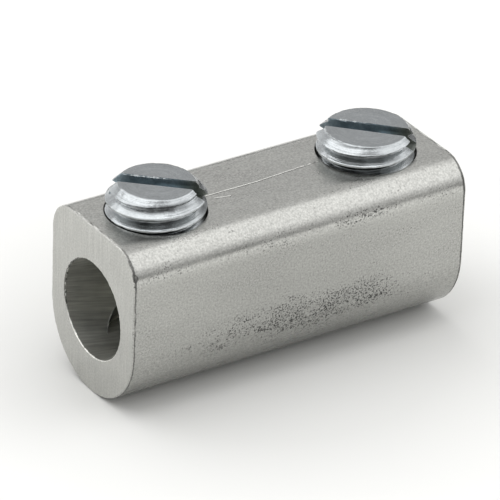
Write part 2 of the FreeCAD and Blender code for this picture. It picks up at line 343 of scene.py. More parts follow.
def scriber_marks(add, x, y, z):
    """The scriber's line along the flat top, which breaks off, and a short second mark."""
    along = add(COMBINE, x)
    sway = add(NOISE, along, grains(2.0, 5.0, 0.85))
    drift = add(RANGE, x, 14.5 * MM, 19.5 * MM, -0.17 * MM, 0.15 * MM)
    long_y = add("MULTIPLY_ADD", sway, 0.16 * MM, drift)
    worn = add(NOISE, along, grains(1.4, 3.0, 0.8))
    fading = add(RANGE, x, 13.5 * MM, 19.0 * MM, 0.12, -0.01)
    kept = add(RANGE, add("ADD", worn, fading), 0.45, 0.58, 0.2, 1.0)
    short_y = add("MULTIPLY_ADD", x, -0.24, 1.78 * MM)
    on_top = add("GREATER_THAN", z, BODY_HIGH.z - 0.02 * MM)
    marks = []
    for line_y, first, last, strength in (
            (long_y, 9.0 * MM, 21.0 * MM, kept), (short_y, 10.3 * MM, 11.6 * MM, 0.6)):
        off_line = apart(add, y, line_y)
        run = add("COMPARE", x, (first + last) / 2, (last - first) / 2)
        marks.append(product(add, (off_line, 0.09 * MM, 0.0), run, strength, on_top))
    return add("MAXIMUM", *marks)


def crease_shade(add, where, x, y, z, from_end, nick_height):
    """Painted shade in the crease inside the sawn ends, thin and broken, wider at the nick."""
    wobble = add(NOISE, where, grains(0.5, 3.0, 0.7))
    crease_at = add(RANGE, wobble, 0.3, 0.7, 0.11 * MM, 0.19 * MM)
    off_crease = apart(add, from_end, crease_at)
    front = add(RANGE, y, -3.6 * MM, -5.0 * MM)
    high = product(add, (z, 4.2 * MM, 4.9 * MM), front)
    off_crease = add("MULTIPLY_ADD", high, -0.05 * MM, off_crease)
    off_nick = apart(add, z, nick_height)
    left_end = add("LESS_THAN", x, BODY_HIGH.x / 2)
    nick = product(add, (off_nick, 0.28 * MM, 0.08 * MM), left_end, front)
    off_crease = add("MULTIPLY_ADD", nick, -0.20 * MM, off_crease)
    gaps = add(NOISE, where, grains(1.1, 4.0, 0.75))
    front_corner = add(RANGE, y, -3.0 * MM, -4.2 * MM, 0.0, 0.16)
    gaps = add("ADD", gaps, front_corner)
    gaps = add("MULTIPLY_ADD", high, 0.12, gaps)
    return product(add, (off_crease, 0.09 * MM, 0.02 * MM), (gaps, 0.45, 0.60, 0.15, 1.0))


def make_extruded_skin(given):
    """Dull tin plate over extruded and tumbled aluminium.

    To the eye: a soft silvery grey with cloudy patches, faint lines along the
    extrusion, a fine grain, and dark pits crowded low on the sides. Painted
    shade darkens the long sides, the underside and the crease by the sawn ends.
    """
    material, add = new_material("Tin Plate On Extruded Aluminium")
    where = add("ShaderNodeTexCoord").outputs["Object"]
    x, y, z = add(SPLIT, where).outputs
    along = add(STRETCH, where, {"Scale": (0.3, 1.0, 1.0)})
    clouds = add(NOISE, along, grains(2.2, 4.0, 0.55))
    grain = add(NOISE, where, grains(0.15, 2.0, 0.6))
    drawn = add(STRETCH, where, {"Scale": (0.02, 1.0, 1.0)})
    lines = add(NOISE, drawn, grains(0.3, 2.0, 0.5))
    pits = skin_pits(add, where, x, y, z)
    scribed = scriber_marks(add, x, y, z)
    from_end = distance_from_end(add, x)
    shade_and_grime = crease_shade(add, where, x, y, z, from_end, given.nick_height)

    # Painted shade: the long sides and the underside are darker than the top, most of all at mid
    # length.
    below = add(RANGE, z, 5.2 * MM, 4.2 * MM)
    sides_shade = add(RANGE, from_end, 3.0 * MM, 11.0 * MM, 0.87, 0.81)
    sides_shade = add(RANGE, below, 0.0, 1.0, 1.0, sides_shade)
    # Pits, and the crease's painted shade, make the skin darker.
    darker = add("MAXIMUM", add("MULTIPLY", pits, 0.82), add("MULTIPLY", shade_and_grime, 0.68))
    lighter = add("SUBTRACT", 1.0, darker)
    # The scribed line is painted lighter: bare metal in the cut, and partly a painted highlight.
    lighter = add("MULTIPLY_ADD", scribed, 0.35, lighter)
    shade = product(add, (clouds, 0.3, 0.7, 0.95, 1.05), sides_shade,
                    (grain, 0.25, 0.75, 0.72, 1.28), lighter)
    height = 0.0
    for pattern, amount in ((grain, 0.14), (lines, 0.2), (pits, -0.8), (scribed, -4.5)):
        height = add("MULTIPLY_ADD", pattern, amount, height)
    roughness = add(RANGE, clouds, 0.3, 0.7, 0.25, 0.32)
    finish_metal(add, given.skin_colour[:3], shade, roughness, height, 0.04 * MM, 0.7)
    return material


def make_sawn_end(given):
    """Tin plate over a sawn aluminium face.

    To the eye: lighter than the skin, with fine upright lines left by the saw.
    """
    material, add = new_material("Tin Plate On Sawn Aluminium")
    where = add("ShaderNodeTexCoord").outputs["Object"]
    upright = add(STRETCH, where, {"Scale": (1.0, 1.0, 0.04)})
    streaks = add(NOISE, upright, grains(0.16, 3.0, 0.6))
    clouds = add(NOISE, where, grains(2.0, 3.0, 0.5))
    grain = add(NOISE, where, grains(0.15, 2.0, 0.5))
    shade = product(add, (streaks, 0.3, 0.7, 0.92, 1.08), (clouds, 0.3, 0.7, 0.96, 1.04),
                    (grain, 0.25, 0.75, 0.86, 1.14))
    height = add("MULTIPLY_ADD", grain, 0.4, streaks)
    finish_metal(add, given[:3], shade, 0.42, height, 0.012 * MM)
    return material


def make_drilled_bore(given):
    """Thin plate over a drilled wall.

    To the eye: a dark grey with steep scratches, left as the drill came out,
    and a dark, ragged line at the mouth, which is painted shade.
    """
    material, add = new_material("Tin Plate On Drilled Aluminium")
    where = add("ShaderNodeTexCoord").outputs["Object"]
    x, _, z = add(SPLIT, where).outputs
    twist = add("MULTIPLY", x, 0.06 / MM)
    turned = add("ShaderNodeVectorRotate", where, {"Angle": twist}, rotation_type="X_AXIS")
    drawn = add(STRETCH, turned, {"Scale": (0.05, 1.0, 1.0)})
    scratches = add(NOISE, drawn, grains(0.25, 3.0, 0.7))
    clouds = add(NOISE, where, grains(1.5, 2.0, 0.5))
    # Painted shade: a ragged line at the mouth, low in the bore, is darkened.
    ragged = add(NOISE, where, grains(0.45, 3.0, 0.7))
    lip = add(RANGE, ragged, 0.42, 0.62, 0.04 * MM, 0.20 * MM)
    mouth = add("LESS_THAN", distance_from_end(add, x), lip)
    mouth = product(add, mouth, (z, -2.4 * MM, -1.2 * MM))
    shade = product(add, (scratches, 0.3, 0.7, 0.72, 1.26), (clouds, 0.3, 0.7, 0.92, 1.06),
                    (mouth, 0.0, 1.0, 1.0, 0.18))
    finish_metal(add, given[:3], shade, 0.4, scratches, 0.03 * MM)
    return material


def make_tapped_wall(given, pitch):
    """Tapped aluminium with next to no plate on it.

    To the eye: dark, with the thread's turns painted as bands of shade one
    pitch apart on a plain wall.
    """
    material, add = new_material("Tapped Aluminium")
    where = add("ShaderNodeTexCoord").outputs["Object"]
    z = add(SPLIT, where).outputs["Z"]
    # Painted shade: dark bands one pitch apart stand in for the thread's grooves.
    ridge = add("PINGPONG", add("DIVIDE", z, pitch), 0.5)
    shade = add(RANGE, ridge, 0.0, 0.5, 0.5, 1.0)
    finish_metal(add, given[:3], shade, 0.35, ridge, 0.4 * MM)
    return material


def make_zinc_plate(name, given, oil, roughness, line_gap, end_shade_and_oil):
    """Bright blue-white zinc plate over turned or sawn steel.

    To the eye: a cool silver, shinier than the body, with turning marks that run
    round the flanks and over the top. The real marks are finer than 0.1 mm; they
    are drawn at the line gap, which is coarse enough to show.
    """
    material, add = new_material(name)
    where = add("ShaderNodeAttribute", attribute_name="screw_place").outputs["Vector"]
    x, y, z = add(SPLIT, where).outputs
    reach = add(VECTOR, add(COMBINE, x, y), operation="LENGTH").outputs["Value"]
    marks = add(NOISE, add(COMBINE, reach, 0.0, z), grains(line_gap / MM, 3.0, 0.6))
    clouds = add(NOISE, where, grains(1.1, 3.0, 0.6))
    grain = add(NOISE, where, grains(0.12, 2.0, 0.5))

    # Darker where the thread tree paints shade and grime, and towards the slot's two ends, where
    # the darkening is painted shade with an oily tint at one end.
    darkening = add("ShaderNodeAttribute", attribute_name="dullness").outputs["Fac"]
    oily_end_shade, other = (
        add(RANGE, x, first * SCREW_RADIUS, last * SCREW_RADIUS, 0.0, end_shade_and_oil)
        for first, last in ((0.35, 0.75), (-0.7, -0.9)))
    for shade_and_grime in (other, oily_end_shade):
        darkening = add("MAXIMUM", darkening, shade_and_grime)
    darkest = add(RANGE, clouds, 0.35, 0.65, 0.10, 0.30)

    # Painted shade: the faced top is darker. The turned cones below it carry thin dark rings.
    faced = add("GREATER_THAN", z, SCREW_LENGTH - 0.04 * MM)
    broken = add(RANGE, clouds, 0.42, 0.58, 0.82, 1.0)
    ring = add(RANGE, apart(add, marks, 0.5), 0.0, 0.03, broken, 1.0)
    shade = product(add, (marks, 0.3, 0.7, 0.90, 1.08), (darkening, 0.0, 1.0, 1.0, darkest),
                    (faced, 0.0, 1.0, ring, 0.85), (clouds, 0.3, 0.7, 0.94, 1.05),
                    (grain, 0.25, 0.75, 0.90, 1.10))
    oily = add("ShaderNodeMix", {0: oily_end_shade, 6: given, 7: oil}, data_type="RGBA").outputs[2]
    height = add("MULTIPLY_ADD", grain, 0.3, marks)
    varied = add(RANGE, clouds, 0.3, 0.7, roughness - 0.04, roughness + 0.05)
    finish_metal(add, oily, shade, varied, height, 0.05 * MM)
    return material


def section_outline(sizes):
    """The section once round, as pairs of a (y, z) point and its outward normal.

    The flat sides run down to a full round of the body's width.
    """
    half = BODY_HIGH.y
    foot = BODY_LOW.z + half
    corner = sizes.corner_radius
    shoulder = BODY_HIGH.z - corner
    inner = half - corner
    round_steps, corner_steps, side_steps, top_steps = 72, 18, 20, 26

    def arc(centre, radius, first, last, steps):
        turns = [math.radians(first + (last - first) * i / steps) for i in range(steps + 1)]
        rays = [Vector((math.cos(turn), math.sin(turn))) for turn in turns]
        return [(Vector(centre) + radius * ray, ray) for ray in rays]

    def straight(start, end, steps):
        (first, normal), last = start, end[0]
        return [(first.lerp(last, i / steps), normal) for i in range(1, steps)]

    bottom = arc((0.0, foot), half, 180, 360, round_steps)
    back = arc((inner, shoulder), corner, 0, 90, corner_steps)
    front = arc((-inner, shoulder), corner, 90, 180, corner_steps)
    return (bottom + straight(bottom[-1], back[0], side_steps) + back
            + straight(back[-1], front[0], top_steps) + front
            + straight(front[-1], bottom[0], side_steps))


def edge_rows(sizes, at, end, inwards):
    """Rows from a sawn face on to the skin, as places along the bar and insets.

    The edge is broken unevenly. Just inside it runs the shallow crease where the
    saw's burr was tumbled over, deeper and wider at the nick on the left end.
    """
    angle = math.atan2(at.y, at.x)
    wander = partial(uneven, angle, end * PLACE_TO_NOISE)
    broken = sizes.edge_break * (0.75 + 0.25 * wander(3.1, 9.0))
    broken *= 1 + 0.35 * wander(8.4, 40.0)
    broken = min(broken, sizes.edge_break)
    crease = sizes.crease_depth * max(0.0, 0.6 + wander(5.7, 7.0))
    crease *= 1 + 0.4 * wander(1.2, 60.0)
    nick_reach = 0.35 * MM
    nick = max(0.0, 1 - abs(at.y - sizes.nick_height) / nick_reach)
    nick *= 1.0 if at.x < 0 and end == 0.0 else 0.0
    crease = crease * (1 - nick) + 3.0 * sizes.crease_depth * nick
    wide = sizes.crease_width * (1 + 2.0 * nick)
    just_past, well_in = 0.02 * MM, 0.9 * MM
    rows = [(broken * (1 - math.cos(turn)), broken * (1 - math.sin(turn)))
            for turn in map(math.radians, (0, 30, 60, 90))]
    rows += [(broken + 0.4 * wide, crease), (broken + wide, 0.0),
             (broken + wide + just_past, 0.0), (well_in, 0.0)]
    return [(end + inwards * run, inset) for run, inset in rows]


def barrel_blank(sizes, skin, sawn):
    """The extruded bar, sawn to length, its end edges broken unevenly."""
    build = bmesh.new()
    columns = []
    for at, normal in section_outline(sizes):
        column = edge_rows(sizes, at, 0.0, 1) + edge_rows(sizes, at, BODY_HIGH.x, -1)[::-1]
        spots = [(x, at - normal * inset) for x, inset in column]
        columns.append([build.verts.new((x, spot.x, spot.y)) for x, spot in spots])
    for a, b in zip(columns, columns[1:] + columns[:1]):
        for i in range(len(a) - 1):
            build.faces.new((a[i], b[i], b[i + 1], a[i + 1]))
    for end in (0, -1):
        build.faces.new([column[end] for column in columns]).material_index = 1
    return new_object("barrel_blank", finished_mesh(build, "barrel_blank", skin, sawn))


def turned_cutter(name, profile, place, wall, floor, segments=128):
    """A closed cutter turned about an axis, with a wall and two flat ends.

    The profile's rows are the distance along the axis and the radius, either as
    two numbers or as a function of the angle that gives both.
    """
    build = bmesh.new()
    rings = []
    for row in profile:
        ring = []
        for i in range(segments):
            angle = math.tau * i / segments
            along, radius = row(angle) if callable(row) else row
            at = (radius * math.cos(angle), radius * math.sin(angle), along)
            ring.append(build.verts.new(at))
        rings.append(ring)
    for end in close_tube(build, rings):
        end.material_index = 1
    mesh = finished_mesh(build, name, wall, floor)
    mesh.transform(place)
    return new_object(name, mesh)


def drill_burrs(sizes, centre_x, mount, material):
    """The beads of burr where the tap drill broke into the bore's lower wall."""
    bore = mount["dims"]["r_mm"] * MM
    drill = sizes.drill_radius
    steps, sides = 48, 6
    lowest = math.asin(math.sqrt(bore ** 2 - sizes.drill_floor ** 2) / drill)
    upwards = Vector((0.0, 0.0, 1.0))
    build = bmesh.new()
    for side in (1, -1):
        rings = []
        for i in range(steps + 1):
            angle = lowest + (math.pi - 2 * lowest) * i / steps
            y = drill * math.sin(angle)
            centre = Vector((centre_x + drill * math.cos(angle), side * y,
                             -math.sqrt(bore ** 2 - y ** 2)))
            along = Vector((-math.sin(angle), side * math.cos(angle), 0.0))
            across = along.cross(upwards)
            lumps = uneven(angle, side + centre_x * PLACE_TO_NOISE, 4.3, 14.0)
            thick = sizes.drill_burr * max(0.15, 0.45 + 0.9 * lumps)
            turns = [math.tau * k / sides for k in range(sides)]
            rings.append([build.verts.new(centre + thick * (across * math.cos(turn)
                                                            + upwards * math.sin(turn)))
                          for turn in turns])
        close_tube(build, rings)
    return new_object("drill_burrs", finished_mesh(build, "drill_burrs", material))


def join_meshes(parts):
    """One mesh out of several objects, by way of a join node."""
    tree = bpy.data.node_groups.new("Join Parts", "GeometryNodeTree")
    tree.interface.new_socket("Geometry", in_out="OUTPUT", socket_type="NodeSocketGeometry")
    add = partial(add_node, tree)
    joined = add("GeometryNodeJoinGeometry")
    for part in parts:
        info = add("GeometryNodeObjectInfo", part)
        tree.links.new(info.outputs["Geometry"], joined.inputs[0])
    real = add("GeometryNodeRealizeInstances", joined)
    add("NodeGroupOutput", real)
    holder = new_object("joined", bpy.data.meshes.new("empty"))
    holder.modifiers.new("Join", "NODES").node_group = tree
    mesh = evaluated_mesh(holder, "joined")
    bpy.data.objects.remove(holder)
    return mesh


def bore_profile(sizes, radius, depth, place):
    """A drilled bore from its mouth inwards; the mouth's deburred edge is uneven."""
    over = 0.5 * MM
    blunt = 0.001

    def chamfer(angle):
        ragged = 1 + 0.8 * uneven(angle, place, 5.0, 2.0) + 1.2 * uneven(angle, place, 9.0, 24.0)
        return sizes.mouth_chamfer * max(ragged, 0.1)

    return [
        lambda angle: (-over, radius + chamfer(angle) + over),
        lambda angle: (chamfer(angle), radius),
        (depth, radius),
        (depth + sizes.point_length * (1 - blunt), radius * blunt),
    ]


def hole_profile(sizes):
    """A screw hole: the tap drill's cut below, the tapped wall and its broken rim."""
    top = BODY_HIGH.z
    rim = sizes.rim_chamfer
    over = 0.5 * MM
    return [
        (-sizes.drill_floor, sizes.drill_radius),
        (0.0, sizes.drill_radius),
        (0.0, sizes.hole_radius),
        (top - rim, sizes.hole_radius),
        (top + over, sizes.hole_radius + rim + over),
    ]


class SPLICE_OT_barrel(bpy.types.Operator):
    """Make the extruded barrel with its two bores and two screw holes"""

    bl_idname = "splice.make_barrel"
    bl_label = "Make Barrel"

    def execute(self, context):
        sizes = context.scene.splice_barrel
        thread = context.scene.splice_screws
        skin = make_extruded_skin(sizes)
        sawn = make_sawn_end(sizes.sawn_colour)
        drilled = make_drilled_bore(sizes.bore_colour)
        tapped = make_tapped_wall(sizes.tapped_colour, thread.pitch)
        blank = barrel_blank(sizes, skin, sawn)
        cutters = []
        for mount in (LEFT_BORE, RIGHT_BORE):
            inwards = -Vector(mount["axis"])
            turn = inwards.to_track_quat("Z", "Y").to_matrix().to_4x4()
            place = Matrix.Translation(mount["pos_m"]) @ turn
            profile = bore_profile(sizes, mount["dims"]["r_mm"] * MM,
                                   mount["dims"]["length_mm"] * MM, len(cutters))
            cutters.append(turned_cutter("bore", profile, place, drilled, drilled, 192))
        for screw_x in (LEFT_X, RIGHT_X):
            place = Matrix.Translation((screw_x, 0.0, 0.0))
            cutters.append(turned_cutter("hole", hole_profile(sizes), place, tapped, drilled))
        for cutter in cutters:
            cut = blank.modifiers.new("Cut", "BOOLEAN")
            cut.operation = "DIFFERENCE"
            cut.solver = "EXACT"
            cut.material_mode = "TRANSFER"
            cut.object = cutter
        parts = [blank]
        for screw_x, mount in ((LEFT_X, LEFT_BORE), (RIGHT_X, RIGHT_BORE)):
            parts.append(drill_burrs(sizes, screw_x, mount, sawn))
        mesh = join_meshes(parts)
        for used in [*parts, *cutters]:
            bpy.data.objects.remove(used)
        mesh.polygons.foreach_set("use_smooth", [True] * len(mesh.polygons))
        mesh.set_sharp_from_angle(angle=SHARP_ANGLE)
        barrel = new_object("barrel", mesh)
        weigh = barrel.modifiers.new("Even Shading", "WEIGHTED_NORMAL")
        weigh.keep_sharp = True
        barrel.data = evaluated_mesh(barrel, "barrel")
        barrel.modifiers.clear()
        keep_piece(barrel, "splice_body", "barrel")
        return {"FINISHED"}


SCREW_INPUTS = {
    "Float": ("Radius", "Length", "Pitch", "Thread Depth", "Crest Flat", "Root Flat",
              "Crest Drop", "Top Chamfer", "Tip Chamfer", "Slot Width", "Slot Depth",
              "Slot Turn", "Burr", "Burr Rise", "Burr Start", "Burr End", "Dull From",
              "Underside Shade", "Seed"),
    "Int": ("Segments",),
    "Vector": ("Place",),
    "Material": ("Plate", "Slot Plate"),
}

# Rows of the thread's grid in one pitch.
ROWS_PER_PITCH = 32


def make_screw_tree():
    """One slotted set screw: a thread grid wound round, chamfered, closed and slotted."""
    tree = bpy.data.node_groups.new("Slotted Set Screw", "GeometryNodeTree")
    for kind, names in SCREW_INPUTS.items():
        for name in names:
            tree.interface.new_socket(name, in_out="INPUT", socket_type="NodeSocket" + kind)
    tree.interface.new_socket("Geometry", in_out="OUTPUT", socket_type="NodeSocketGeometry")
    add = partial(add_node, tree)
    given = add("NodeGroupInput").outputs
    radius, pitch, tall = given["Radius"], given["Pitch"], given["Length"]
    depth, seed = given["Thread Depth"], given["Seed"]

    # Rows run from three turns below the tip to two above the top, past both ends.
    turns = add("DIVIDE", tall, pitch)
    below, whole = (add("CEIL", add("ADD", turns, spare)) for spare in (3.0, 5.0))
    rows = add("MULTIPLY", whole, ROWS_PER_PITCH)
    columns = add("ADD", given["Segments"], 1.0)
    row_points = add("ADD", rows, 1.0)
    grid = add("GeometryNodeMeshGrid", 1.0, 1.0, columns, row_points)
    place = add("GeometryNodeInputPosition")
    across, up, _ = add(SPLIT, place).outputs
    turn = add("ADD", across, 0.5)
    angle = add("MULTIPLY", turn, math.tau)
    level = add("MULTIPLY", add("ADD", up, 0.5), whole)
    level = add("SUBTRACT", level, below)
    # Level 0 is the first crest at the slot's end; a right-hand thread climbs a pitch a turn.
    first = add("SUBTRACT", tall, given["Crest Drop"])
    raw = add("MULTIPLY_ADD", add("ADD", level, turn), pitch, first)

    # Radius from the thread: flat crest, straight flank, flat root, corners eased.
    away = add("MULTIPLY", add("PINGPONG", level, 0.5), pitch)
    half_crest = add("MULTIPLY", given["Crest Flat"], 0.5)
    flats = add("ADD", given["Crest Flat"], given["Root Flat"])
    flank = add("MULTIPLY", add("SUBTRACT", pitch, flats), 0.5)
    down = add("DIVIDE", add("SUBTRACT", away, half_crest), flank)
    down = add("MULTIPLY", down, depth)
    down = add("SMOOTH_MAX", down, 0.0, 0.05 * MM)
    down = add("SMOOTH_MIN", down, depth, 0.08 * MM)
    thread = add("SUBTRACT", radius, down)

    # Height stays on the screw; past an end, a row runs in to the axis instead.
    level_z = add("SMOOTH_MIN", raw, tall, 0.05 * MM)
    level_z = add("SMOOTH_MAX", level_z, 0.0, 0.05 * MM)
    past = apart(add, raw, level_z)
    below_top = add("SUBTRACT", tall, level_z)
    cones = []
    for chamfer, from_end in ((given["Top Chamfer"], below_top), (given["Tip Chamfer"], level_z)):
        cones.append(add("ADD", add("SUBTRACT", radius, chamfer), from_end))
    ends = add("MINIMUM", *cones)
    reach = add("SMOOTH_MIN", thread, ends, 0.04 * MM)

    # Painted shade, stored as a darkening: at the groove's root, and lower down on the flanks
    # too.
    rim = add("MINIMUM", radius, ends)
    groove = add("DIVIDE", add("SUBTRACT", rim, reach), depth)
    own_depth = add("DIVIDE", down, depth)
    deepest = add(RANGE, below_top, 0.7 * MM, 1.1 * MM, 1.0, 0.72)
    root = add(RANGE, own_depth, 0.35, 0.75, 0.0, deepest)
    deeper = add(RANGE, add("SUBTRACT", below_top, given["Dull From"]), 0.0, 0.25 * MM)
    deeper = add("MAXIMUM", deeper, 0.15)
    flank_shade = product(add, (groove, 0.04, 0.25, 0.0, 0.72), deeper)
    dullness = add("MAXIMUM", root, flank_shade)
    # Painted shade: the underside of a thread is darker on one screw than on the other, and the
    # grooves on one side are darker than on the other.
    under = add("FRACT", level)
    one_side_shade = add("COSINE", add("ADD", angle, math.radians(76)))
    dullness = product(add, dullness, (under, 0.5, 0.62, 1.0, given["Underside Shade"]),
                       (one_side_shade, 0.65, 0.95, 0.05, 1.0))
    # Patches of grime and painted shade beside the slot's two ends, the right one wider.
    for degrees, outer, inner, most in ((28, 0.60, 0.90, 0.75), (150, 0.866, 0.95, 0.8)):
        patch = add("COSINE", add("SUBTRACT", angle, math.radians(degrees)))
        patch = add(RANGE, patch, outer, inner, 0.0, most)
        dullness = add("MAXIMUM", dullness, patch)
    # The faced top is left out of all this.
    dullness = product(add, dullness, (below_top, 0.03 * MM, 0.12 * MM))
    grid = add("GeometryNodeStoreNamedAttribute",
               {"Geometry": grid, "Name": "dullness", "Value": dullness},
               data_type="FLOAT", domain="POINT")

    # Small dents and waves of the turned surface, one pattern for each screw.
    ray = [add(kind, angle) for kind in ("COSINE", "SINE")]
    wall = add(COMBINE, *[add("MULTIPLY", part, radius) for part in ray], raw)
    waves = add(NOISE, {"Vector": wall, "W": seed}, grains(0.6, 2.0, 0.5), noise_dimensions="4D")
    dents = add(RANGE, waves, 0.5, 0.75, 0.0, 0.06 * MM)
    reach = add("SUBTRACT", reach, dents)
    reach = add("MULTIPLY_ADD", past, -4.0, reach)
    reach = add("MAXIMUM", reach, 0.0)
    wound = add(COMBINE, *[add("MULTIPLY", part, reach) for part in ray], level_z)
    blank = add("GeometryNodeSetPosition", {"Geometry": grid, "Position": wound})
    blank = add("GeometryNodeMergeByDistance", {"Geometry": blank, "Distance": 1e-6})

    # The slot's cutter, a block with slightly uneven walls.
    long_cut = add("MULTIPLY", radius, 2.6)
    deep_cut = add("MULTIPLY", given["Slot Depth"], 2.0)
    block_size = add(COMBINE, long_cut, given["Slot Width"], deep_cut)
    block = add("GeometryNodeMeshCube", block_size, 60, 6, 10)
    block = add("GeometryNodeTransform",
                {"Geometry": block, "Translation": add(COMBINE, 0.0, 0.0, tall)})
    rough, lumps = (add(NOISE, {"Vector": place, "W": seed}, grains(size, detail, 0.5),
                        noise_dimensions="4D")
                    for size, detail in ((0.5, 3.0), (0.25, 2.0)))
    shake = add(VECTOR, rough.outputs["Color"], (0.5, 0.5, 0.5), operation="SUBTRACT")
    shake = add(VECTOR, shake, (0.0, 0.05 * MM, 0.03 * MM), operation="MULTIPLY")
    block = add("GeometryNodeSetPosition", {"Geometry": block, "Offset": shake})
    block = add("GeometryNodeStoreNamedAttribute",
                {"Geometry": block, "Name": "slot_face", "Value": True},
                data_type="BOOLEAN", domain="FACE")
    slotted = add("GeometryNodeMeshBoolean", {"Mesh 1": blank, "Mesh 2": block},
                  operation="DIFFERENCE", solver="EXACT")

    # The burr: an uneven bead on the slot's far edge.
    half_slot = add("MULTIPLY", given["Slot Width"], 0.5)
    burr = given["Burr"]
    sunk = add("ADD", add("SUBTRACT", tall, burr), given["Burr Rise"])
    burr_ends = [add(COMBINE, given[end], half_slot, sunk) for end in ("Burr Start", "Burr End")]
    bead = add("GeometryNodeCurvePrimitiveLine", {"Start": burr_ends[0], "End": burr_ends[1]})
    bead = add("GeometryNodeResampleCurve", {"Curve": bead, "Count": 64})
    ends_in = add("PINGPONG", add("GeometryNodeSplineParameter").outputs["Factor"], 0.5)
    thick = product(add, (lumps, 0.4, 0.62, 0.15, 1.0), (ends_in, 0.0, 0.12, 0.05, 1.0), burr)
    profile = add("GeometryNodeCurvePrimitiveCircle", {"Resolution": 8})
    bead = add("GeometryNodeCurveToMesh",
               {"Curve": bead, "Profile Curve": profile, "Scale": thick, "Fill Caps": True})
    screw = add("GeometryNodeJoinGeometry")
    for part in (slotted, bead):
        tree.links.new(part.outputs[0], screw.inputs[0])

    # Where a point is on its own screw, for the turning marks, before it is placed.
    screw = add("GeometryNodeStoreNamedAttribute",
                {"Geometry": screw, "Name": "screw_place", "Value": place},
                data_type="FLOAT_VECTOR", domain="POINT")
    edge = add("GeometryNodeInputMeshEdgeAngle").outputs["Unsigned Angle"]
    gentle = add("FunctionNodeCompare", edge, SHARP_ANGLE, data_type="FLOAT",
                 operation="LESS_THAN")
    for domain, shown in (("FACE", True), ("EDGE", gentle)):
        screw = add("GeometryNodeSetShadeSmooth", {"Geometry": screw, "Shade Smooth": shown},
                    domain=domain)
    spin = add(COMBINE, 0.0, 0.0, given["Slot Turn"])
    screw = add("GeometryNodeTransform",
                {"Geometry": screw, "Translation": given["Place"], "Rotation": spin})
    screw = add("GeometryNodeRealizeInstances", screw)
    slot_face = add("GeometryNodeInputNamedAttribute", "slot_face", data_type="BOOLEAN")
    for faces, material in ((True, "Plate"), (slot_face, "Slot Plate")):
        screw = add("GeometryNodeSetMaterial",
                    {"Geometry": screw, "Selection": faces, "Material": given[material]})
    add("NodeGroupOutput", screw)
    return tree


class SPLICE_OT_screws(bpy.types.Operator):
    """Make the two slotted set screws"""

    bl_idname = "splice.make_screws"
    bl_label = "Make Set Screws"

    def execute(self, context):
        sizes = context.scene.splice_screws
        tree = make_screw_tree()
        sockets = {s.name: s.identifier for s in tree.interface.items_tree if s.in_out == "INPUT"}
        oil = tuple(sizes.oil_colour)
        plate = make_zinc_plate("Zinc Plate On Turned Steel", tuple(sizes.zinc_colour), oil,
                                roughness=0.21, line_gap=0.26 * MM, end_shade_and_oil=0.0)
        slot_plate = make_zinc_plate("Zinc Plate In Sawn Slot", tuple(sizes.slot_colour), oil,
                                     roughness=0.40, line_gap=0.12 * MM, end_shade_and_oil=0.65)
        shared = {"Radius": SCREW_RADIUS, "Length": SCREW_LENGTH,
                  "Plate": plate, "Slot Plate": slot_plate}
        left = {"Place": (LEFT_X, 0.0, LEFT_LOW.z), "Seed": 3.0, "Underside Shade": 1.0,
                "Burr Start": -2.8 * MM, "Burr End": 1.0 * MM, "Burr Rise": 0.0}
        right = {"Place": (RIGHT_X, 0.0, RIGHT_LOW.z), "Seed": 5.0, "Underside Shade": 0.0,
                 "Burr Start": -2.6 * MM, "Burr End": -0.1 * MM, "Burr Rise": 0.06 * MM}
        for side, own in (("left", left), ("right", right)):
            screw = new_object(side + "_screw", bpy.data.meshes.new("empty"))
            wind = screw.modifiers.new("Screw", "NODES")
            wind.node_group = tree
            values = {**shared, **own}
            for name, socket in sockets.items():
                # What isn't worked out above is a setting, of both screws or of this one.
                setting = name.lower().replace(" ", "_")
                if not hasattr(sizes, setting):
                    setting = side + "_" + setting
                wind[socket] = values[name] if name in values else getattr(sizes, setting)
            screw.data = evaluated_mesh(screw, side + "_screw")
            screw.modifiers.clear()
            if len(screw.data.polygons) == 0:
                raise RuntimeError("the screw tree gave no faces")
            keep_piece(screw, side + "_set_screw", side + "_screw")
        return {"FINISHED"}


def seen_rays(add):
    """1 for what the camera, a reflection or glass shows, and 0 for light itself."""
    path = add("ShaderNodeLightPath").outputs
    seen = add("ADD", path["Is Camera Ray"], path["Is Glossy Ray"])
    return add("ADD", seen, path["Is Transmission Ray"])


